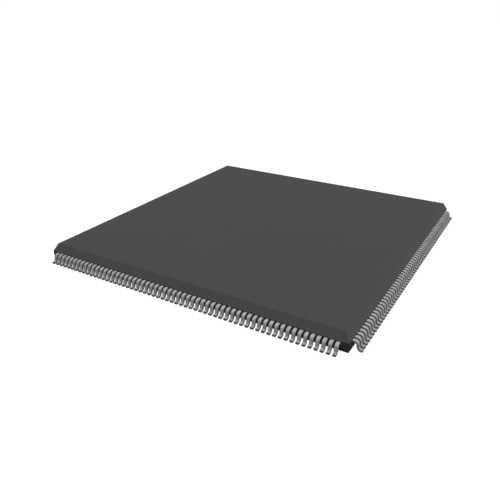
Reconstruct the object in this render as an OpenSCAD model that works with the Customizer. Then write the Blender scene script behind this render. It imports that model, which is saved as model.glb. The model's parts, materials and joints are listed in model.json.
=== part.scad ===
// Quad flat pack: a square moulded chip package, gull-wing leads on all four
// sides. The origin is the middle of the seating plane, +Z towards the top.

/* [Package] */
// Leads on each side
leads_per_side = 60; // [24:4:60]
// Distance from one lead to the next
pitch = 0.5; // [0.45:0.05:0.8]
// Centre of the last lead to the wall round the corner
corner_margin = 0.8; // [0.66:0.02:1.6]
// Height of the upright walls below the parting edge
lower_h = 0.82; // [0.68:0.02:1.8]
// Height of the sloping walls above the parting edge
upper_h = 0.73; // [0.6:0.01:1.8]
// How far the top face is set in from the parting edge
bevel_in = 0.4; // [0:0.05:0.6]
// Gap between the seating plane and the underside of the body
standoff = 0.07; // [0.05:0.01:0.15]

/* [Leads] */
// Width of a lead outside the body
lead_w = 0.28; // [0.17:0.01:0.34]
// Thickness of the lead frame's sheet metal
lead_t = 0.18; // [0.09:0.01:0.2]
// Parting edge to the upper face of the leads
lead_drop = 0.07; // [0:0.01:0.2]
// Straight shoulder between the wall and the upper bend
shoulder_l = 0.2; // [0.1:0.01:0.5]
// Radius on the inner side of both bends
bend_r = 0.13; // [0.08:0.01:0.2]
// Lean of the leg away from upright, in degrees
leg_lean = 10; // [0:1:20]
// Flat length of the foot beyond the lower bend
foot_l = 0.15; // [0.12:0.01:0.6]

/* [Inner lead frame] */
// Distance between the inner lead tips, which face the bond pads one to one
tip_pitch = 0.17; // [0.14:0.01:0.22]
// Width of an inner lead at its tip
tip_w = 0.09; // [0.07:0.01:0.11]
// Straight bonding flat at the end of an inner lead
tip_flat = 0.4; // [0.3:0.05:0.8]
// Centre of the last tip to the line of tips on the next side
tip_margin = 2; // [1.6:0.1:2.6]
// Width of a tie bar
tie_w = 0.2; // [0.15:0.01:0.25]
// Gap between a tie bar and the root of the nearest lead
tie_gap = 0.16; // [0.1:0.01:0.2]
// Distance from the corner of the body back to the end of a tie bar
tie_short = 0.35; // [0.25:0.05:0.8]
// How far the die paddle is pressed down below the leads
downset = 0.2; // [0.1:0.02:0.3]
// Length of the slope that makes the downset
downset_run = 0.4; // [0.2:0.05:0.6]
// Width of the polyimide tape that keeps the leads in line
tape_w = 1.2; // [0.8:0.1:2]
// Thickness of the tape with its adhesive
tape_t = 0.06; // [0.04:0.01:0.08]

/* [Die] */
// Centre of the last pad to the edge of the die round the corner
pad_corner = 0.46; // [0.3:0.02:0.8]
// Centre of a pad to the edge of the die beside it
pad_in = 0.12; // [0.08:0.01:0.2]
// Thickness of the die
die_t = 0.33; // [0.2:0.01:0.4]
// Thickness of the die attach
attach_t = 0.03; // [0.02:0.005:0.05]
// How far the die attach spreads past the die
attach_spread = 0.1; // [0.05:0.05:0.3]
// How far the die paddle reaches past the die
paddle_margin = 0.75; // [0.4:0.05:1]

/* [Bond wires] */
// Diameter of the gold wire
wire_d = 0.025; // [0.02:0.001:0.033]
// Diameter of the ball bond
ball_d = 0.06; // [0.045:0.005:0.07]
// Height of the ball bond
ball_h = 0.02; // [0.015:0.005:0.03]
// Upright length of a wire between its ball bond and its kink
riser_h = 0.16; // [0.1:0.02:0.24]

/* [Underside] */
// Diameter of an ejector pin mark
mark_d = 1.6; // [1:0.1:2.5]
// Depth of an ejector pin mark
mark_h = 0.04; // [0.02:0.01:0.08]
// Ejector pin mark to the nearest two walls
mark_in = 4; // [2:0.5:8]

/* [Hidden] */
$fn = 48;
eps = 0.01;

// Leads on each side are handled in four banks, a to d.
BANKS = 4;

// Body
body_half = (leads_per_side - 1) * pitch / 2 + corner_margin;
parting_z = standoff + lower_h;
top_z = parting_z + upper_h;

// Leads outside the body
lead_top_z = parting_z - lead_drop;
lead_z = lead_top_z - lead_t;
mid_r = bend_r + lead_t / 2;
bend_angle = 90 - leg_lean;
leg_h = lead_z - 2 * mid_r * (1 - cos(bend_angle));
leg_l = leg_h / cos(leg_lean);
foot_x = shoulder_l + 2 * mid_r * sin(bend_angle) + leg_h * tan(leg_lean);
lead_reach = foot_x + foot_l;

// Lead frame inside the body
tip_half = (leads_per_side - 1) * tip_pitch / 2 + tip_margin;
root_in = corner_margin - lead_w / 2 - (tie_w / 2 + tie_gap) * sqrt(2);
root_half = body_half - root_in;
flat_half = tip_half + tip_flat;
tape_mid = (root_half + flat_half) / 2;

// Die stack
die_half = (leads_per_side - 1) * tip_pitch / 2 + pad_corner;
paddle_half = die_half + paddle_margin;
paddle_z = lead_z - downset;
attach_z = paddle_z + lead_t;
die_z = attach_z + attach_t;
die_top_z = die_z + die_t;
pad_y = die_half - pad_in;
bond_y = tip_half + tip_flat / 2;

function from_middle(i) = i - (leads_per_side - 1) / 2;
function bank_start(bank) = floor(bank * leads_per_side / BANKS);

// ---------- moulded body ----------

// Section of the body: upright walls below the parting edge, sloping above it.
module body_section() {
  polygon([
    [-body_half, standoff], [body_half, standoff],
    [body_half, parting_z], [body_half - bevel_in, top_z],
    [bevel_in - body_half, top_z], [-body_half, parting_z]
  ]);
}

// The section carried across the body along Y.
module body_bar() {
  rotate([90, 0, 0])
    linear_extrude(height = 2 * body_half, center = true) body_section();
}

module ejector_marks() {
  place = body_half - mark_in;
  for (x = [-place, place], y = [-place, place])
    translate([x, y, standoff - eps])
      cylinder(d = mark_d, h = mark_h + eps);
}

// Everything that the moulding compound flows round.
module encapsulated() {
  die_paddle();
  die_attach();
  die();
  lead_tape();
  for (side = [0:3]) {
    leads(side, 0, BANKS);
    wires(side);
  }
}

module mould_body() {
  color([0.16, 0.16, 0.17])
    difference() {
      intersection() {
        body_bar();
        rotate([0, 0, 90]) body_bar();
      }
      ejector_marks();
      encapsulated();
    }
}

// ---------- leads ----------

// A bend of the sheet: a ring sector that starts upright above the centre and
// turns clockwise by bend_angle.
module bend() {
  reach = 2 * (bend_r + lead_t);
  intersection() {
    difference() {
      circle(r = bend_r + lead_t);
      circle(r = bend_r);
    }
    polygon([
      [0, 0], [0, reach], [reach, reach],
      [reach * sin(bend_angle), reach * cos(bend_angle)]
    ]);
  }
}

// Side view of the formed strip: X is the distance out from the wall and Y the
// height. It runs from the inner tips out to the end of the foot.
module strip_profile() {
  outer_r = bend_r + lead_t;
  translate([tip_half - body_half, lead_z])
    square([body_half - tip_half + shoulder_l, lead_t]);
  translate([shoulder_l, lead_z - bend_r]) {
    bend();
    rotate(-bend_angle) translate([0, bend_r])
      square([leg_l, lead_t]);
  }
  translate([foot_x, outer_r]) rotate(180) bend();
  translate([foot_x, 0]) square([foot_l, lead_t]);
}

// Flat outline of lead i: straight from the foot to its root, then fanned in
// to the bonding flat.
module lead_outline(i) {
  outer_x = from_middle(i) * pitch;
  inner_x = from_middle(i) * tip_pitch;
  polygon([
    [outer_x - lead_w / 2, -body_half - lead_reach - eps],
    [outer_x + lead_w / 2, -body_half - lead_reach - eps],
    [outer_x + lead_w / 2, -root_half],
    [inner_x + tip_w / 2, -flat_half],
    [inner_x + tip_w / 2, -tip_half],
    [inner_x - tip_w / 2, -tip_half],
    [inner_x - tip_w / 2, -flat_half],
    [outer_x - lead_w / 2, -root_half]
  ]);
}

// The leads of some banks on one side: the formed strip, cut to the outlines.
module leads(side, first_bank, banks) {
  first = bank_start(first_bank);
  last = bank_start(first_bank + banks) - 1;
  color([0.72, 0.73, 0.74])
    rotate([0, 0, 90 * side])
      intersection() {
        translate([0, -body_half, 0])
          rotate([90, 0, -90])
            linear_extrude(height = 2 * body_half, center = true) strip_profile();
        translate([0, 0, -eps])
          linear_extrude(height = lead_top_z + 2 * eps)
            for (i = [first:last]) lead_outline(i);
      }
}

// ---------- die paddle, die and tape ----------

// A tie bar seen from its side: X is the distance from the middle along the
// diagonal. It slopes down just outside the corner of the paddle.
module tie_profile() {
  start = paddle_half;
  low = paddle_half * sqrt(2) + tie_w;
  high = low + downset_run;
  end = body_half * sqrt(2) - tie_short;
  polygon([
    [start, paddle_z], [low, paddle_z], [high, lead_z], [end, lead_z],
    [end, lead_top_z], [high, lead_top_z], [low, attach_z], [start, attach_z]
  ]);
}

module die_paddle() {
  color([0.72, 0.45, 0.3]) {
    translate([-paddle_half, -paddle_half, paddle_z])
      cube([2 * paddle_half, 2 * paddle_half, lead_t]);
    for (corner = [45:90:315])
      rotate([0, 0, corner]) rotate([90, 0, 0])
        linear_extrude(height = tie_w, center = true) tie_profile();
  }
}

module die_attach() {
  half = die_half + attach_spread;
  color([0.8, 0.8, 0.78])
    translate([-half, -half, attach_z]) cube([2 * half, 2 * half, attach_t]);
}

module die() {
  color([0.35, 0.36, 0.42])
    translate([-die_half, -die_half, die_z])
      cube([2 * die_half, 2 * die_half, die_t]);
}

// One square ring of tape, stuck across the upper faces of all inner leads.
module lead_tape() {
  outer = tape_mid + tape_w / 2;
  inner = tape_mid - tape_w / 2;
  color([0.75, 0.5, 0.15])
    translate([0, 0, lead_top_z])
      linear_extrude(height = tape_t)
        difference() {
          square(2 * outer, center = true);
          square(2 * inner, center = true);
        }
}

// ---------- bond wires ----------

// Side view of a bond wire: X is the distance out from its pad and Y the height.
// It stands up from the ball bond, kinks, and runs straight down to the lead,
// where it ends level on the bonding flat.
module wire_profile() {
  kink_z = die_top_z + ball_h + riser_h;
  run = bond_y - pad_y;
  fall = atan2(kink_z - lead_top_z, run);
  span_l = run / cos(fall) + wire_d / sin(fall);
  difference() {
    union() {
      translate([-wire_d / 2, die_top_z])
        square([wire_d, kink_z - die_top_z]);
      translate([0, kink_z]) rotate(-fall)
        translate([-wire_d / 2, -wire_d / 2]) square([span_l, wire_d]);
    }
    translate([run / 2, lead_top_z - run]) square(run);
  }
}

// The wires of one side, each as wide as it is thick, and their ball bonds.
module wires(side) {
  color([0.9, 0.72, 0.3])
    rotate([0, 0, 90 * side]) {
      intersection() {
        translate([0, -pad_y, 0])
          rotate([90, 0, -90])
            linear_extrude(height = 2 * die_half, center = true) wire_profile();
        for (i = [0:leads_per_side - 1])
          translate([from_middle(i) * tip_pitch - wire_d / 2, -body_half, 0])
            cube([wire_d, body_half, top_z]);
      }
      for (i = [0:leads_per_side - 1])
        translate([from_middle(i) * tip_pitch, -pad_y, die_top_z])
          cylinder(d = ball_d, h = ball_h);
    }
}

mould_body();
die_paddle();
die_attach();
die();
lead_tape();
leads(0, 0, 1);  // front_leads_a
leads(0, 1, 1);  // front_leads_b
leads(0, 2, 1);  // front_leads_c
leads(0, 3, 1);  // front_leads_d
leads(1, 0, 1);  // right_leads_a
leads(1, 1, 1);  // right_leads_b
leads(1, 2, 1);  // right_leads_c
leads(1, 3, 1);  // right_leads_d
leads(2, 0, 1);  // back_leads_a
leads(2, 1, 1);  // back_leads_b
leads(2, 2, 1);  // back_leads_c
leads(2, 3, 1);  // back_leads_d
leads(3, 0, 1);  // left_leads_a
leads(3, 1, 1);  // left_leads_b
leads(3, 2, 1);  // left_leads_c
leads(3, 3, 1);  // left_leads_d
wires(0);  // front_wires
wires(1);  // right_wires
wires(2);  // back_wires
wires(3);  // left_wires
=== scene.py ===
"""Finishes, light and camera for a quad flat pack chip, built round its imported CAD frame."""

import json
import logging
import math
from dataclasses import dataclass
from enum import Enum

import bmesh
import bpy
import numpy as np
from mathutils import Matrix, Vector

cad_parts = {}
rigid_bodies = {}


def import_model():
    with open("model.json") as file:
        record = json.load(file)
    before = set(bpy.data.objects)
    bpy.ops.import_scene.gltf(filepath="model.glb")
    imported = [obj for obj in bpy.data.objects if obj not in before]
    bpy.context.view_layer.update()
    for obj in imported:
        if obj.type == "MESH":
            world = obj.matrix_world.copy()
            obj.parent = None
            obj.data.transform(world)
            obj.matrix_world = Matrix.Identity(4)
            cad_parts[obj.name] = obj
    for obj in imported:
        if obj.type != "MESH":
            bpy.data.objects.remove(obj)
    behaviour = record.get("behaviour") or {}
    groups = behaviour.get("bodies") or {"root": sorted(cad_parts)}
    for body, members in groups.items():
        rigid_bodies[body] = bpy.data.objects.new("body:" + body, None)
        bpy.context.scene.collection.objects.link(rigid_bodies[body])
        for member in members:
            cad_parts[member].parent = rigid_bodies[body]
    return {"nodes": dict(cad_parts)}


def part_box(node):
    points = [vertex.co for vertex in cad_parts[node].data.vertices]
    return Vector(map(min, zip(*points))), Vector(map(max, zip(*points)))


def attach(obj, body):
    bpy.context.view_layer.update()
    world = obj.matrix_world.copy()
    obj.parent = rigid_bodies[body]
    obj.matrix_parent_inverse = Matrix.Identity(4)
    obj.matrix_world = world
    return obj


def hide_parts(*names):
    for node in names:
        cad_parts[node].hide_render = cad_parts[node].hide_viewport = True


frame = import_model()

LOG = logging.getLogger("quad_flat_pack")
MM = 0.001

# Letters of the banks that each side's leads are made in.
BANKS = "abcd"
# Corners of a lead's section, and how many of its sections lie at the inner tip.
SECTION_CORNERS = 4
TIP_SECTIONS = 2
# The mesh attribute that says how much each face of a lead is darkened: painted shade on the sheet's
# sides, and on the cut ends unplated metal and painted shade.
CUT_AND_SHADE_FACE = "cut_and_shade_face"

Colour = tuple[float, float, float]
Point = tuple[float, float, float]
Rgba = tuple[float, float, float, float]
# What an input takes: an output that is linked to it, or a constant.
Feed = bpy.types.NodeSocket | float | tuple[float, ...]

BLACK: Rgba = (0.0, 0.0, 0.0, 1.0)
WHITE: Rgba = (1.0, 1.0, 1.0, 1.0)

# Where a Mix node that works on colours has its share, its two colours and its result.
MIX_SHARE = 0
MIX_FIRST = 6
MIX_SECOND = 7
MIX_RESULT = 2


class Side(Enum):
    """The four sides of the package, numbered by quarter turns from the front."""

    FRONT = 0
    RIGHT = 1
    BACK = 2
    LEFT = 3

    @property
    def label(self) -> str:
        """The side's name as the frame's nodes have it."""
        return self.name.lower()

    def turned(self, points: np.ndarray) -> np.ndarray:
        """Turns points made for the front side to this side.

        Formula: one quarter turn about Z takes (x, y) to (-y, x), done as often as the side says.

        Args:
            points: An array whose last axis is x, y, z.

        Returns:
            A new array of the same shape.
        """
        turned = points.copy()
        for _ in range(self.value):
            turned[..., 0], turned[..., 1] = -turned[..., 1].copy(), turned[..., 0].copy()
        return turned


class Socket(Enum):
    """The kinds of socket that the shared effects have."""

    FLOAT = "NodeSocketFloat"
    VECTOR = "NodeSocketVector"


# ---------------------------------------------------------------- meshes


def new_piece(name: str, vertices: np.ndarray, faces: list[list[int]]) -> bpy.types.Object:
    """Makes a mesh object at the origin and puts it in the scene.

    Args:
        name: The piece's name.
        vertices: An n by 3 array, in metres.
        faces: Vertex numbers of each face.

    Returns:
        The new object.
    """
    mesh = bpy.data.meshes.new(name)
    mesh.from_pydata(vertices.reshape(-1, 3).tolist(), [], faces)
    mesh.update()
    piece = bpy.data.objects.new(name, mesh)
    bpy.context.scene.collection.objects.link(piece)
    return piece


def close_up(piece: bpy.types.Object, merge: float) -> None:
    """Merges vertices that lie together and turns every face outwards.

    Args:
        piece: The object whose mesh is tidied.
        merge: Vertices nearer than this, in metres, become one.
    """
    work = bmesh.new()
    work.from_mesh(piece.data)
    bmesh.ops.remove_doubles(work, verts=work.verts, dist=merge)
    bmesh.ops.dissolve_degenerate(work, edges=work.edges, dist=merge)
    bmesh.ops.recalc_face_normals(work, faces=work.faces)
    work.to_mesh(piece.data)
    work.free()


def ring_quads(rings: int, around: int, first: int = 0) -> list[list[int]]:
    """Joins rings of vertices, each to the next, by quads.

    Formula: a quad joins a vertex, the one beside it in its ring, and the same two of the next ring.

    Args:
        rings: How many rings there are.
        around: Vertices in each ring, which closes on itself.
        first: Number of the first vertex.

    Returns:
        The quads' vertex numbers.
    """
    row, col = np.meshgrid(np.arange(rings - 1), np.arange(around), indexing="ij")
    here = first + row * around + col
    beside = first + row * around + (col + 1) % around
    quads = np.stack([here, beside, beside + around, here + around], axis=-1)
    return quads.reshape(-1, 4).tolist()


# ---------------------------------------------------------------- shader parts


class Recipe:
    """A node tree with short calls to add nodes and join them."""

    def __init__(self, tree: bpy.types.NodeTree) -> None:
        """Starts on a tree, which is emptied.

        Args:
            tree: The node tree of a material or a group.
        """
        self.tree = tree
        tree.nodes.clear()

    def add(self, kind: str, settings: dict[str, object] | None = None, **values: Feed) -> bpy.types.Node:
        """Adds one node.

        Args:
            kind: The node's type name.
            settings: Properties of the node itself.
            **values: What its inputs hold or are linked to, by name with _ for a space.

        Returns:
            The new node.
        """
        node = self.tree.nodes.new(kind)
        for key, value in (settings or {}).items():
            setattr(node, key, value)
        for key, value in values.items():
            self.feed(node.inputs[key.replace("_", " ")], value)
        return node

    def feed(self, socket: bpy.types.NodeSocket, value: Feed) -> None:
        """Links a socket to an output, or sets it to a constant.

        Args:
            socket: The input that is fed.
            value: An output or a constant.
        """
        if isinstance(value, bpy.types.NodeSocket):
            self.tree.links.new(value, socket)
        else:
            socket.default_value = value

    def math(
        self, operation: str, first: Feed, second: Feed = 0.0, clamp: bool = False
    ) -> bpy.types.NodeSocket:
        """Adds a Math node and returns its output.

        Args:
            operation: The node's operation.
            first: A number or an output.
            second: A number or an output.
            clamp: Whether the result is held between 0 and 1.

        Returns:
            The output socket.
        """
        node = self.add("ShaderNodeMath", {"operation": operation, "use_clamp": clamp})
        self.feed(node.inputs[0], first)
        self.feed(node.inputs[1], second)
        return node.outputs[0]

    def blend(self, share: Feed, first: Feed, second: Feed) -> bpy.types.NodeSocket:
        """Mixes two colours, all second where share is 1.

        Args:
            share: A number or an output.
            first: A colour or an output.
            second: A colour or an output.

        Returns:
            The mixed colour.
        """
        node = self.add("ShaderNodeMix", {"data_type": "RGBA"})
        self.feed(node.inputs[MIX_SHARE], share)
        self.feed(node.inputs[MIX_FIRST], first)
        self.feed(node.inputs[MIX_SECOND], second)
        return node.outputs[MIX_RESULT]

    def mix(self, share: Feed, first: bpy.types.Node, second: bpy.types.Node) -> bpy.types.Node:
        """Mixes two shaders, all second where share is 1.

        Args:
            share: A number or an output.
            first: The first shader's node.
            second: The second shader's node.

        Returns:
            The node that mixes them.
        """
        node = self.add("ShaderNodeMixShader", Fac=share)
        self.feed(node.inputs[1], first.outputs[0])
        self.feed(node.inputs[2], second.outputs[0])
        return node

    def crossing(self, value: Feed, level: Feed, width: Feed) -> bpy.types.NodeSocket:
        """Makes a mask that goes from 0 to 1 as a value rises past a level.

        Formula: (value - level) / width + 0.5, held between 0 and 1.

        Args:
            value: The value that rises.
            level: Where the mask is 0.5.
            width: How far the value rises while the mask goes from 0 to 1.

        Returns:
            The mask.
        """
        over = self.math("SUBTRACT", value, level)
        return self.math("ADD", self.math("DIVIDE", over, width), 0.5, clamp=True)

    def ranged(self, value: Feed, low: float, high: float) -> bpy.types.NodeSocket:
        """Maps 0 to 1 onto low to high.

        Args:
            value: An output that runs from 0 to 1.
            low: The result at 0.
            high: The result at 1.

        Returns:
            The output socket.
        """
        node = self.add("ShaderNodeMapRange", {"clamp": True}, Value=value)
        node.inputs["To Min"].default_value = low
        node.inputs["To Max"].default_value = high
        return node.outputs["Result"]


class EffectGroup:
    """A shader node group that several finishes place, each with its own values."""

    name: str = "effect"
    inputs: tuple[tuple[str, Socket], ...] = ()
    outputs: tuple[tuple[str, Socket], ...] = ()

    @classmethod
    def tree(cls) -> bpy.types.NodeTree:
        """Builds the group the first time it is asked for.

        Returns:
            The group's node tree.
        """
        found = bpy.data.node_groups.get(cls.name)
        if found is not None:
            return found
        tree = bpy.data.node_groups.new(cls.name, "ShaderNodeTree")
        for name, kind in cls.inputs:
            tree.interface.new_socket(name=name, in_out="INPUT", socket_type=kind.value)
        for name, kind in cls.outputs:
            tree.interface.new_socket(name=name, in_out="OUTPUT", socket_type=kind.value)
        recipe = Recipe(tree)
        start = recipe.add("NodeGroupInput")
        end = recipe.add("NodeGroupOutput")
        cls.wire(recipe, start, end)
        return tree

    @classmethod
    def wire(cls, recipe: Recipe, start: bpy.types.Node, end: bpy.types.Node) -> None:
        """Builds the inside of the group.

        Args:
            recipe: The group's tree.
            start: The node that holds the group's inputs.
            end: The node that holds the group's outputs.
        """
        raise NotImplementedError

    @classmethod
    def place(cls, recipe: Recipe, **values: Feed) -> bpy.types.Node:
        """Places the group in a material.

        Args:
            recipe: The material's tree.
            **values: The group's inputs by name.

        Returns:
            The group node.
        """
        node = recipe.tree.nodes.new("ShaderNodeGroup")
        node.node_tree = cls.tree()
        for key, value in values.items():
            recipe.feed(node.inputs[key.replace("_", " ")], value)
        return node


class FineGrain(EffectGroup):
    """Grain at one scale: a tone from 0 to 1 and a height to feed a Bump node."""

    name = "fine_grain"
    inputs = (("Vector", Socket.VECTOR), ("Scale", Socket.FLOAT), ("Contrast", Socket.FLOAT))
    outputs = (("Tone", Socket.FLOAT), ("Height", Socket.FLOAT))
    detail: float = 3.0
    fineness: float = 0.55

    @classmethod
    def wire(cls, recipe: Recipe, start: bpy.types.Node, end: bpy.types.Node) -> None:
        """Makes Height a noise, and Tone the same noise spread about 0.5 by Contrast.

        Args:
            recipe: The group's tree.
            start: The node that holds the group's inputs.
            end: The node that holds the group's outputs.
        """
        noise = recipe.add(
            "ShaderNodeTexNoise",
            Vector=start.outputs["Vector"],
            Scale=start.outputs["Scale"],
            Detail=cls.detail,
            Roughness=cls.fineness,
        )
        centred = recipe.math("SUBTRACT", noise.outputs["Fac"], 0.5)
        spread = recipe.math("MULTIPLY", centred, start.outputs["Contrast"])
        recipe.feed(end.inputs["Tone"], recipe.math("ADD", spread, 0.5, clamp=True))
        recipe.feed(end.inputs["Height"], noise.outputs["Fac"])


class Above(EffectGroup):
    """A mask that goes from 0 to 1 across a level plane."""

    name = "above_level"
    inputs = (("Vector", Socket.VECTOR), ("Level", Socket.FLOAT), ("Blend", Socket.FLOAT))
    outputs = (("Mask", Socket.FLOAT),)

    @classmethod
    def wire(cls, recipe: Recipe, start: bpy.types.Node, end: bpy.types.Node) -> None:
        """Makes Mask go from 0 to 1 as z rises past Level.

        Args:
            recipe: The group's tree.
            start: The node that holds the group's inputs.
            end: The node that holds the group's outputs.
        """
        split = recipe.add("ShaderNodeSeparateXYZ", Vector=start.outputs["Vector"])
        mask = recipe.crossing(split.outputs["Z"], start.outputs["Level"], start.outputs["Blend"])
        recipe.feed(end.inputs["Mask"], mask)


class Reach(EffectGroup):
    """A mask that goes from 0 to 1 across the outline of a square about the Z axis."""

    name = "beyond_square"
    inputs = (("Vector", Socket.VECTOR), ("Half", Socket.FLOAT), ("Blend", Socket.FLOAT))
    outputs = (("Mask", Socket.FLOAT),)

    @classmethod
    def wire(cls, recipe: Recipe, start: bpy.types.Node, end: bpy.types.Node) -> None:
        """Makes Mask go from 0 to 1 as the greater of |x| and |y| rises past Half.

        Args:
            recipe: The group's tree.
            start: The node that holds the group's inputs.
            end: The node that holds the group's outputs.
        """
        split = recipe.add("ShaderNodeSeparateXYZ", Vector=start.outputs["Vector"])
        wide = recipe.math("ABSOLUTE", split.outputs["X"])
        deep = recipe.math("ABSOLUTE", split.outputs["Y"])
        out = recipe.math("MAXIMUM", wide, deep)
        mask = recipe.crossing(out, start.outputs["Half"], start.outputs["Blend"])
        recipe.feed(end.inputs["Mask"], mask)


def grey(level: float) -> Rgba:
    """A neutral colour of one linear level."""
    return (level, level, level, 1.0)


def opaque(colour: Colour) -> Rgba:
    """A colour with full alpha."""
    return (*colour, 1.0)


def scaled(colour: Colour, factor: float) -> Rgba:
    """A colour made lighter or darker, with full alpha."""
    return (*(factor * channel for channel in colour), 1.0)


# ---------------------------------------------------------------- finishes


@dataclass(frozen=True)
class Finish:
    """What every finish has: a name, a colour, a metal share and a grain.

    Grain is how many grains lie in a millimetre, variation is how far they change the colour, and
    bump_depth is the depth of the surface that they leave, in metres.
    """

    name: str
    colour: Colour
    metallic: float
    roughness: tuple[float, float]
    grain: float
    contrast: float = 1.6
    variation: float = 0.08
    bump: float = 0.1
    bump_depth: float = 0.002 * MM

    def start(self) -> tuple[bpy.types.Material, Recipe, bpy.types.Node, bpy.types.NodeSocket]:
        """Makes the material with its shader.

        Returns:
            The material, its recipe, the shader and the Object coordinates.
        """
        material = bpy.data.materials.new(self.name)
        material.use_nodes = True
        material.diffuse_color = opaque(self.colour)
        recipe = Recipe(material.node_tree)
        shader = recipe.add("ShaderNodeBsdfPrincipled")
        output = recipe.add("ShaderNodeOutputMaterial")
        recipe.feed(output.inputs["Surface"], shader.outputs["BSDF"])
        shader.inputs["Metallic"].default_value = self.metallic
        place = recipe.add("ShaderNodeTexCoord").outputs["Object"]
        return material, recipe, shader, place

    def dress(
        self, recipe: Recipe, shader: bpy.types.Node, place: bpy.types.NodeSocket
    ) -> bpy.types.NodeSocket:
        """Gives the shader its grain in colour, roughness and bump.

        Args:
            recipe: The material's tree.
            shader: The shader that is fed.
            place: The Object coordinates.

        Returns:
            The grained base colour, for finishes that change it further.
        """
        grain = FineGrain.place(recipe, Vector=place, Scale=self.grain / MM, Contrast=self.contrast)
        tone = grain.outputs["Tone"]
        colour = recipe.blend(
            tone, scaled(self.colour, 1 - self.variation), scaled(self.colour, 1 + self.variation)
        )
        recipe.feed(shader.inputs["Base Color"], colour)
        recipe.feed(shader.inputs["Roughness"], recipe.ranged(tone, *self.roughness))
        bump = recipe.add("ShaderNodeBump", Strength=self.bump, Height=grain.outputs["Height"])
        bump.inputs["Distance"].default_value = self.bump_depth
        recipe.feed(shader.inputs["Normal"], bump.outputs["Normal"])
        return colour

    def material(self) -> bpy.types.Material:
        """Builds the material.

        Returns:
            The finished material.
        """
        material, recipe, shader, place = self.start()
        self.dress(recipe, shader, place)
        return material


@dataclass(frozen=True)
class MouldCompound(Finish):
    """Black moulding compound, matt from the mould, with painted shade that darkens the top face and the
    lower half.

    Mottle and filler are how many patches and specks lie in a millimetre. A tone is the share of
    the colour that is kept. Heights are in metres.
    """

    parting: float = 0.0
    top: float = 0.0
    # Painted shade: the share of the colour kept on the top face, darkened against the strong light from
    # above.
    top_shade_tone: float = 0.635
    top_margin: float = 0.006 * MM
    # Painted shade: the share of the colour kept on the lower half, below the parting edge.
    lower_shade_tone: float = 0.5
    tone_blend: float = 0.01 * MM
    mottle: float = 0.25
    mottle_contrast: float = 2.0
    mottle_share: float = 0.05
    filler: float = 9.0
    filler_radius: float = 0.18
    filler_level: float = 0.5
    filler_share: float = 0.05
    specular: float = 0.22

    def material(self) -> bpy.types.Material:
        """Builds the material: grain, broad mottling from the flow, pale filler, and painted shade on the
        lower half and the top face.

        Returns:
            The finished material.
        """
        material, recipe, shader, place = self.start()
        shader.inputs["Specular IOR Level"].default_value = self.specular
        colour = self.dress(recipe, shader, place)
        mottle = FineGrain.place(
            recipe, Vector=place, Scale=self.mottle / MM, Contrast=self.mottle_contrast
        )
        shade = recipe.ranged(mottle.outputs["Tone"], 0.0, self.mottle_share)
        colour = recipe.blend(shade, colour, BLACK)
        specks = recipe.add("ShaderNodeTexVoronoi", Vector=place, Scale=self.filler / MM)
        near = recipe.math("LESS_THAN", specks.outputs["Distance"], self.filler_radius)
        speck = recipe.math("MULTIPLY", near, self.filler_share)
        colour = recipe.blend(speck, colour, grey(self.filler_level))
        # Painted shade: the lower half, below the parting edge, is darkened.
        above = Above.place(recipe, Vector=place, Level=self.parting, Blend=self.tone_blend)
        lower = recipe.blend(self.lower_shade_tone, BLACK, colour)
        sides = recipe.blend(above.outputs["Mask"], lower, colour)
        # Painted shade: the top face is darkened.
        ceiling = Above.place(
            recipe, Vector=place, Level=self.top - self.top_margin, Blend=self.tone_blend
        )
        face = recipe.blend(self.top_shade_tone, BLACK, colour)
        recipe.feed(shader.inputs["Base Color"], recipe.blend(ceiling.outputs["Mask"], sides, face))
        return material


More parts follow.
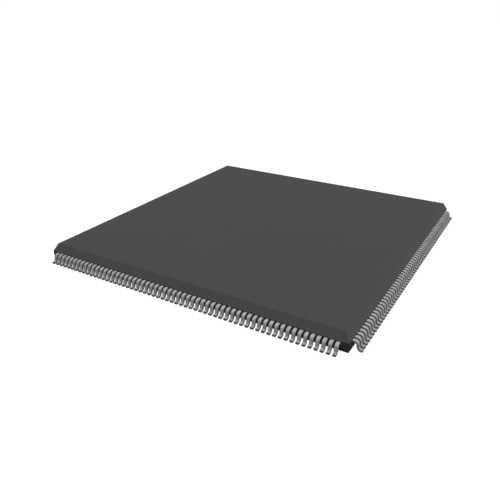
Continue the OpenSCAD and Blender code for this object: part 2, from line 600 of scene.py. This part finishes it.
@dataclass(frozen=True)
class TinPlate(Finish):
    """Matt tin over the formed leads, with painted shade darkening each foot towards its end and the
    sheet's sides, and darker cut ends that are partly unplated metal and partly painted shade.

    Lead_scale and rolling are how many tones and rolling lines lie in a millimetre. Lengths are in
    metres.
    """

    reach: float = 0.0
    foot_run: float = 0.28 * MM
    # Painted shade: how much darker each foot grows towards its end.
    foot_shade_share: float = 0.35
    # Partly unplated metal, partly painted shade: the share of the colour kept on the cut ends, and in
    # part on the sheet's sides.
    cut_and_shade_tone: float = 0.6
    lead_scale: float = 1.1
    lead_contrast: float = 2.4
    lead_level: float = 0.12
    lead_share: float = 0.06
    rolling: float = 90.0
    rolling_stretch: float = 0.06
    rolling_depth: float = 0.0008 * MM

    def material(self) -> bpy.types.Material:
        """Builds the material: grain, rolling lines, a tone for each lead, painted shade on the feet and
        on the sheet's sides, and darker cut ends, partly unplated metal and partly painted shade.

        Returns:
            The finished material.
        """
        material, recipe, shader, place = self.start()
        colour = self.dress(recipe, shader, place)
        along = recipe.add("ShaderNodeMapping", Vector=place, Scale=(1.0, self.rolling_stretch, 1.0))
        lines = FineGrain.place(recipe, Vector=along.outputs[0], Scale=self.rolling / MM)
        rolled = recipe.add("ShaderNodeBump", Strength=self.bump, Height=lines.outputs["Height"])
        rolled.inputs["Distance"].default_value = self.rolling_depth
        recipe.feed(rolled.inputs["Normal"], shader.inputs["Normal"].links[0].from_socket)
        recipe.feed(shader.inputs["Normal"], rolled.outputs["Normal"])
        batch = FineGrain.place(
            recipe, Vector=place, Scale=self.lead_scale / MM, Contrast=self.lead_contrast
        )
        dull = recipe.ranged(batch.outputs["Tone"], 0.0, self.lead_share)
        colour = recipe.blend(dull, colour, grey(self.lead_level))
        # Painted shade: each foot grows darker towards its end.
        foot = Reach.place(recipe, Vector=place, Half=self.reach - self.foot_run / 2, Blend=self.foot_run)
        foot_shade = recipe.ranged(foot.outputs["Mask"], 0.0, self.foot_shade_share)
        colour = recipe.blend(foot_shade, colour, BLACK)
        # Painted shade on the sheet's sides; on the cut ends, unplated metal and painted shade.
        cut = recipe.add("ShaderNodeAttribute", {"attribute_name": CUT_AND_SHADE_FACE})
        bare_and_shaded = recipe.blend(self.cut_and_shade_tone, BLACK, colour)
        recipe.feed(shader.inputs["Base Color"], recipe.blend(cut.outputs["Fac"], colour, bare_and_shaded))
        return material


# ---------------------------------------------------------------- moulded body


@dataclass
class MouldBody:
    """The moulded body: upright lower walls, sloping upper walls, rounded edges and ejector marks.

    Lengths are in metres. Merge_share is the share of the edge's radius within which vertices
    become one.
    """

    half: float
    bottom: float
    top: float
    lower_height: float = 0.82 * MM
    bevel_in: float = 0.4 * MM
    edge: float = 0.012 * MM
    merge_share: float = 0.01
    mark_radius: float = 0.8 * MM
    mark_depth: float = 0.04 * MM
    mark_in: float = 4.0 * MM
    per_half_side: int = 12
    per_corner: int = 3
    per_fillet: int = 3

    @property
    def parting(self) -> float:
        """Height of the parting edge."""
        return self.bottom + self.lower_height

    def ring(self, half: float, corner: float, height: float) -> np.ndarray:
        """One level ring round the body.

        Formula: each side is a straight run of even steps between its corners, and each corner is
        a quarter circle of radius corner; the front side is made first and then turned.

        Args:
            half: Half the width of the ring.
            corner: Radius of its corners, 0 for sharp ones.
            height: Its height.

        Returns:
            The ring's vertices.
        """
        reach = half - corner
        run = np.linspace(-reach, reach, 2 * self.per_half_side + 1)
        turn = np.linspace(-math.pi / 2, 0, self.per_corner + 1)[1:-1]
        across = np.concatenate([run, reach + corner * np.cos(turn)])
        along = np.concatenate([np.full_like(run, -half), -reach + corner * np.sin(turn)])
        side = np.stack([across, along, np.full_like(across, height)], axis=-1)
        return np.concatenate([face.turned(side) for face in Side])

    def rows(self) -> list[tuple[float, float, float]]:
        """The section from the underside to the top face.

        Formula: three fillets, each an arc about its centre, joined by straight walls. The bottom
        one turns from the underside to the wall, the middle one from the wall to the slope, and
        the top one from the slope to the top face.

        Returns:
            Half width, corner radius and height of each ring.
        """
        edge, steps = self.edge, self.per_fillet + 1
        slope = math.atan2(self.bevel_in, self.top - self.parting)
        rows = []
        for angle in np.linspace(-math.pi / 2, 0, steps):
            out = edge * math.cos(angle)
            rows.append((self.half - edge + out, out, self.bottom + edge + edge * math.sin(angle)))
        knee = self.parting - edge * math.tan(slope / 2)
        for angle in np.linspace(0, slope, steps):
            inset = edge - edge * math.cos(angle)
            rows.append((self.half - inset, edge, knee + edge * math.sin(angle)))
        setback = edge * math.tan((math.pi / 2 - slope) / 2)
        centre = self.half - self.bevel_in - setback
        for angle in np.linspace(slope, math.pi / 2, steps):
            out = edge * math.cos(angle)
            rows.append((centre + out, out, self.top - edge + edge * math.sin(angle)))
        return rows

    def quadrant(self, turn: Side) -> np.ndarray:
        """A quarter of the underside with its ejector mark, as rings from the mark's middle out.

        Formula: each ring but the last is a circle about the mark, and the last is the square
        outline of the quarter; point k of each ring lies the same share of the way round, and
        point 0 lies towards the package's middle.

        Args:
            turn: Which quarter, counted by quarter turns.

        Returns:
            An array of rings, points and coordinates.
        """
        reach = self.half - self.edge
        step = np.linspace(0, 1, self.per_half_side, endpoint=False)
        zero, one = np.zeros_like(step), np.ones_like(step)
        square = reach * np.stack(
            [np.concatenate([step, one, 1 - step, zero]), np.concatenate([zero, step, one, 1 - step])],
            axis=-1,
        )
        to_middle = -0.75 * math.pi
        angle = to_middle + np.linspace(0, 2 * math.pi, len(square), endpoint=False)
        spoke = np.stack([np.cos(angle), np.sin(angle)], axis=-1)
        round_off = self.mark_depth / 4
        circles = (
            (0.0, self.mark_depth),
            (self.mark_radius - round_off, self.mark_depth),
            (self.mark_radius, self.mark_depth - round_off),
            (self.mark_radius, round_off / 2),
            (self.mark_radius + round_off / 2, 0.0),
            (2 * self.mark_radius, 0.0),
        )
        rings = []
        for radius, depth in circles:
            flat = self.half - self.mark_in + radius * spoke
            rings.append(np.column_stack([flat, np.full(len(flat), self.bottom + depth)]))
        rings.append(np.column_stack([square, np.full(len(square), self.bottom)]))
        return turn.turned(np.stack(rings))

    def skin(self) -> bpy.types.Object:
        """Builds the closed outer skin.

        Returns:
            The body's object.
        """
        walls = np.stack([self.ring(*row) for row in self.rows()])
        vertices = [walls.reshape(-1, 3)]
        count, around = walls.shape[0], walls.shape[1]
        faces = ring_quads(count, around)
        faces.append(list(range((count - 1) * around, count * around)))
        first = count * around
        for turn in Side:
            rings = self.quadrant(turn)
            vertices.append(rings.reshape(-1, 3))
            faces += ring_quads(rings.shape[0], rings.shape[1], first)
            first += rings.shape[0] * rings.shape[1]
        piece = new_piece("body_shell", np.concatenate(vertices), faces)
        close_up(piece, self.edge * self.merge_share)
        return piece

    def build(self, finish: Finish) -> None:
        """Builds the body, dresses it and stands it in for its node.

        Args:
            finish: The moulding compound.
        """
        piece = self.skin()
        piece.data.materials.append(finish.material())
        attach(piece, "root")
        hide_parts("mould_body")
        LOG.info("body: %d faces", len(piece.data.polygons))


# ---------------------------------------------------------------- leads


@dataclass
class LeadRows:
    """All gull-wing leads, with the fingers that run in to the die.

    Lengths are in metres. The sides' share is how much of the cut ends' darkening the sheet's sides get
    as painted shade, where the cut ends have 1.
    """

    body_half: float
    reach: float
    top: float
    per_side: int = 60
    pitch: float = 0.5 * MM
    width: float = 0.28 * MM
    thickness: float = 0.18 * MM
    shoulder: float = 0.2 * MM
    bend: float = 0.13 * MM
    lean: float = math.radians(10)
    root_in: float = 0.2923 * MM
    tip_pitch: float = 0.17 * MM
    tip_width: float = 0.09 * MM
    tip_margin: float = 2.0 * MM
    tip_flat: float = 0.4 * MM
    per_bend: int = 4
    # Painted shade: the share of the cut ends' darkening given to the sheet's sides.
    side_shade: float = 0.5

    def stations(self) -> np.ndarray:
        """The sheet's middle line from the inner tip to the end of the foot.

        Formula: level runs joined by two arcs of the middle radius, which turn the sheet down by
        90 degrees less the lean and back up again, with the straight leg between them.

        Returns:
            Rows of distance out from the wall, height, and the sheet's angle below level.
        """
        radius = self.bend + self.thickness / 2
        full = math.pi / 2 - self.lean
        high, low = self.top - self.thickness / 2, self.thickness / 2
        tip = (self.per_side - 1) / 2 * self.tip_pitch + self.tip_margin
        inner = np.array([tip, tip + self.tip_flat, self.body_half - self.root_in]) - self.body_half
        level = np.stack([inner, np.full(3, high), np.zeros(3)], axis=-1)
        leg = high - low - 2 * radius * (1 - math.cos(full))
        foot = self.shoulder + 2 * radius * math.sin(full) + leg * math.tan(self.lean)
        down = np.linspace(0, full, self.per_bend + 1)
        upper = np.stack(
            [self.shoulder + radius * np.sin(down), high - radius * (1 - np.cos(down)), down], axis=-1
        )
        back = down[::-1]
        lower = np.stack([foot - radius * np.sin(back), low + radius * (1 - np.cos(back)), back], axis=-1)
        end = np.array([[self.reach - self.body_half, low, 0.0]])
        return np.concatenate([level, upper, lower, end])

    def bank(self, side: Side, first: int, last: int) -> np.ndarray:
        """The vertices of leads first to last - 1 of one side.

        Formula: at each station the section is a rectangle across the sheet's middle line, of the
        lead's width there, half its thickness to either side along the sheet's normal.

        Args:
            side: The side of the package.
            first: Number of the first lead.
            last: Number after the last lead.

        Returns:
            An array of leads, stations, corners and coordinates.
        """
        line = self.stations()
        number = np.arange(first, last) - (self.per_side - 1) / 2
        fanned = np.arange(len(line)) < TIP_SECTIONS
        middle = np.where(fanned, number[:, None] * self.tip_pitch, number[:, None] * self.pitch)
        half = np.where(fanned, self.tip_width / 2, self.width / 2)
        across = np.array([1, -1, -1, 1])
        through = np.array([1, 1, -1, -1]) * self.thickness / 2
        out, height, angle = line.T[:, :, None]
        x = middle[:, :, None] + half[:, None] * across
        y = np.broadcast_to(-(self.body_half + out + np.sin(angle) * through), x.shape)
        z = np.broadcast_to(height + np.cos(angle) * through, x.shape)
        return side.turned(np.stack([x, y, z], axis=-1))

    def sharpen(self, mesh: bpy.types.Mesh, rings: int) -> None:
        """Shades the bends smoothly and keeps the sheet's edges and cut ends crisp.

        Args:
            mesh: The bank's mesh.
            rings: Rings in each lead.
        """
        mesh.polygons.foreach_set("use_smooth", np.ones(len(mesh.polygons), bool))
        ends = np.empty(2 * len(mesh.edges), np.int32)
        mesh.edges.foreach_get("vertices", ends)
        ring = ends.reshape(-1, 2) // SECTION_CORNERS
        lengthwise = ring[:, 0] != ring[:, 1]
        cut = np.isin(ring[:, 0] % rings, (0, rings - 1)) & ~lengthwise
        sharp = mesh.attributes.new("sharp_edge", "BOOLEAN", "EDGE")
        sharp.data.foreach_set("value", lengthwise | cut)

    def mark_cuts_and_shade(self, mesh: bpy.types.Mesh, leads: int, rings: int) -> None:
        """Writes how dark each face is made: 0 on the sheet's faces, the sides' share on its sides as
        painted shade, 1 on its ends, which are partly unplated metal and partly painted shade.

        Args:
            mesh: The bank's mesh.
            leads: Leads in the bank.
            rings: Rings in each lead.
        """
        along = np.tile([0.0, self.side_shade, 0.0, self.side_shade], rings - 1)
        lead = np.concatenate([along, [1.0, 1.0]])
        cut = mesh.attributes.new(CUT_AND_SHADE_FACE, "FLOAT", "FACE")
        cut.data.foreach_set("value", np.tile(lead, leads).astype(np.float32))

    def piece(self, side: Side, letter: str) -> bpy.types.Object:
        """Builds one bank of leads.

        Args:
            side: The side of the package.
            letter: The bank's letter.

        Returns:
            The bank's object.
        """
        number = BANKS.index(letter)
        first, last = (bank * self.per_side // len(BANKS) for bank in (number, number + 1))
        points = self.bank(side, first, last)
        leads, rings = points.shape[:2]
        faces = []
        outline = np.arange(SECTION_CORNERS)
        for lead in range(leads):
            start = lead * rings * SECTION_CORNERS
            foot = start + (rings - 1) * SECTION_CORNERS
            faces += ring_quads(rings, SECTION_CORNERS, start)
            faces.append((start + outline[::-1]).tolist())
            faces.append((foot + outline).tolist())
        piece = new_piece(f"{side.label}_gull_wings_{letter}", points, faces)
        self.sharpen(piece.data, rings)
        self.mark_cuts_and_shade(piece.data, leads, rings)
        return piece

    def build(self, finish: Finish) -> None:
        """Builds all banks, dresses them and stands them in for their nodes.

        Args:
            finish: The leads' plating.
        """
        material = finish.material()
        for side in Side:
            for letter in BANKS:
                piece = self.piece(side, letter)
                piece.data.materials.append(material)
                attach(piece, "root")
                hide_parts(f"{side.label}_leads_{letter}")
                LOG.info("%s: %d faces", piece.name, len(piece.data.polygons))


# ---------------------------------------------------------------- sealed pieces


@dataclass
class SealedPieces:
    """The frame's own pieces inside the body, which keep their meshes and get their finishes."""

    nodes: dict[str, bpy.types.Object]

    def finishes(self) -> dict[str, Finish]:
        """Lists the finish of each sealed node.

        Returns:
            Finishes by the node's name.
        """
        gold = Finish(
            "drawn_gold", colour=(0.83, 0.58, 0.2), metallic=1.0, roughness=(0.18, 0.3), grain=20.0
        )
        copper = Finish(
            "stamped_copper", colour=(0.62, 0.33, 0.2), metallic=1.0, roughness=(0.3, 0.45), grain=12.0
        )
        paste = Finish(
            "silver_paste",
            colour=(0.5, 0.5, 0.48), metallic=0.6, roughness=(0.5, 0.7), grain=25.0, bump=0.4,
        )
        silicon = Finish(
            "polished_silicon",
            colour=(0.13, 0.14, 0.18), metallic=0.8, roughness=(0.06, 0.14), grain=3.0, bump=0.02,
        )
        film = Finish(
            "amber_film", colour=(0.45, 0.2, 0.03), metallic=0.0, roughness=(0.2, 0.32), grain=6.0
        )
        made = {"die_paddle": copper, "die_attach": paste, "die": silicon, "lead_tape": film}
        made.update({f"{side.label}_wires": gold for side in Side})
        return made

    def build(self) -> None:
        """Gives each sealed node its material."""
        made: dict[str, bpy.types.Material] = {}
        for node, finish in self.finishes().items():
            if finish.name not in made:
                made[finish.name] = finish.material()
            mesh = self.nodes[node].data
            mesh.materials.clear()
            mesh.materials.append(made[finish.name])
            LOG.info("%s: %s", node, finish.name)


# ---------------------------------------------------------------- studio


@dataclass(frozen=True)
class Lamp:
    """A square soft light that faces the chip: its place and side in metres, its power in watts."""

    name: str
    place: Point
    size: float
    power: float

    def hang(self) -> None:
        """Puts the light in the scene."""
        lamp = bpy.data.lights.new(self.name, "AREA")
        lamp.shape = "SQUARE"
        lamp.size = self.size
        lamp.energy = self.power
        hung = bpy.data.objects.new(self.name, lamp)
        bpy.context.scene.collection.objects.link(hung)
        hung.location = self.place
        hung.rotation_mode = "QUATERNION"
        hung.rotation_quaternion = (-Vector(self.place)).to_track_quat("-Z", "Y")


@dataclass
class Studio:
    """The pale floor, the sky, the soft lights and the camera. Lengths are in metres."""

    aim_height: float
    azimuth: float = math.radians(30.01)
    elevation: float = math.radians(23.81)
    distance: float = 58.7 * MM
    slide: tuple[float, float] = (-0.69 * MM, -0.38 * MM)
    lens: float = 38.94
    shift: tuple[float, float] = (-0.0226, -0.0376)
    clip: tuple[float, float] = (1 * MM, 100.0)
    floor_half: float = 6.0
    floor_drop: float = 0.002 * MM
    floor_paint: float = 0.8
    floor_glow: float = 1.08
    floor_glow_share: float = 0.93
    floor_bounce: float = 0.3
    sky_light: float = 0.35
    sky_seen: float = 1.0
    lamps: tuple[Lamp, ...] = (
        Lamp("overhead", place=(0.01, 0.0, 0.3), size=0.3, power=0.9),
        Lamp("right_fill", place=(0.25, 0.16, 0.14), size=0.15, power=0.145),
        Lamp("under_fill", place=(-0.1, 0.1, -0.3), size=0.1, power=0.9),
    )

    def floor(self) -> None:
        """Lays a level floor: nearly white, giving little light back, and clear to what is beneath."""
        around = np.array([[-1, -1], [1, -1], [1, 1], [-1, 1]]) * self.floor_half
        points = np.column_stack([around, np.full(len(around), -self.floor_drop)])
        piece = new_piece("floor", points, [list(range(len(points)))])
        material = bpy.data.materials.new("pale_floor")
        material.use_nodes = True
        recipe = Recipe(material.node_tree)
        path = recipe.add("ShaderNodeLightPath")
        paint = recipe.add("ShaderNodeBsdfDiffuse", Color=grey(self.floor_paint))
        glow = recipe.add("ShaderNodeEmission", Color=WHITE, Strength=self.floor_glow)
        seen = recipe.mix(self.floor_glow_share, paint, glow)
        dim = recipe.add("ShaderNodeBsdfDiffuse", Color=grey(self.floor_bounce))
        both = recipe.mix(path.outputs["Is Camera Ray"], dim, seen)
        beneath = recipe.add("ShaderNodeNewGeometry").outputs["Backfacing"]
        through = recipe.math("MAXIMUM", beneath, path.outputs["Is Shadow Ray"])
        clear = recipe.mix(through, both, recipe.add("ShaderNodeBsdfTransparent"))
        output = recipe.add("ShaderNodeOutputMaterial")
        recipe.feed(output.inputs["Surface"], clear.outputs[0])
        piece.data.materials.append(material)

    def world(self) -> None:
        """Sets an even pale sky: bright to the eye, faint as a light."""
        world = bpy.data.worlds.new("studio_sky")
        bpy.context.scene.world = world
        world.use_nodes = True
        recipe = Recipe(world.node_tree)
        path = recipe.add("ShaderNodeLightPath")
        faint = recipe.add("ShaderNodeBackground", Color=WHITE, Strength=self.sky_light)
        pale = recipe.add("ShaderNodeBackground", Color=WHITE, Strength=self.sky_seen)
        both = recipe.mix(path.outputs["Is Camera Ray"], faint, pale)
        output = recipe.add("ShaderNodeOutputWorld")
        recipe.feed(output.inputs["Surface"], both.outputs[0])

    def camera(self) -> None:
        """Sets the camera by azimuth, elevation and distance from the parting plane's middle."""
        around, over = self.azimuth, self.elevation
        level = math.cos(over)
        back = Vector((math.sin(around) * level, -math.cos(around) * level, math.sin(over)))
        right = Vector((math.cos(around), math.sin(around), 0.0))
        up = back.cross(right)
        data = bpy.data.cameras.new("camera")
        data.lens = self.lens
        data.shift_x, data.shift_y = self.shift
        data.clip_start, data.clip_end = self.clip
        eye = bpy.data.objects.new("camera", data)
        bpy.context.scene.collection.objects.link(eye)
        where = Vector((0, 0, self.aim_height)) + back * self.distance
        where += right * self.slide[0] + up * self.slide[1]
        eye.matrix_world = Matrix.Translation(where) @ Matrix((right, up, back)).transposed().to_4x4()
        bpy.context.scene.camera = eye

    def build(self) -> None:
        """Sets up the camera, the floor, the sky and the lights."""
        self.camera()
        self.floor()
        self.world()
        for lamp in self.lamps:
            lamp.hang()
        bpy.context.scene.view_settings.view_transform = "Standard"
        place = bpy.context.scene.camera.location
        LOG.info("studio: %d lamps, camera at %s mm", len(self.lamps), [round(v / MM, 2) for v in place])


def main() -> None:
    logging.basicConfig(level=logging.INFO, format="%(name)s: %(message)s")
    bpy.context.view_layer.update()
    low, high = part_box("mould_body")
    bank_low, bank_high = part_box("front_leads_a")
    body = MouldBody(half=high.x, bottom=low.z, top=high.z)
    Studio(aim_height=body.parting).build()
    body.build(
        MouldCompound(
            "mould_compound",
            colour=(0.0762, 0.0762, 0.0762), metallic=0.0, roughness=(0.62, 0.78), grain=22.0,
            bump=0.25, bump_depth=0.003 * MM, parting=body.parting, top=body.top,
        )
    )
    leads = LeadRows(body_half=high.x, reach=-bank_low.y, top=bank_high.z)
    leads.build(
        TinPlate(
            "matt_tin",
            colour=(0.462, 0.462, 0.466), metallic=0.8, roughness=(0.7, 0.8), grain=30.0,
            contrast=1.2, variation=0.05, reach=leads.reach,
        )
    )
    SealedPieces(frame["nodes"]).build()


if __name__ == "__main__":
    main()
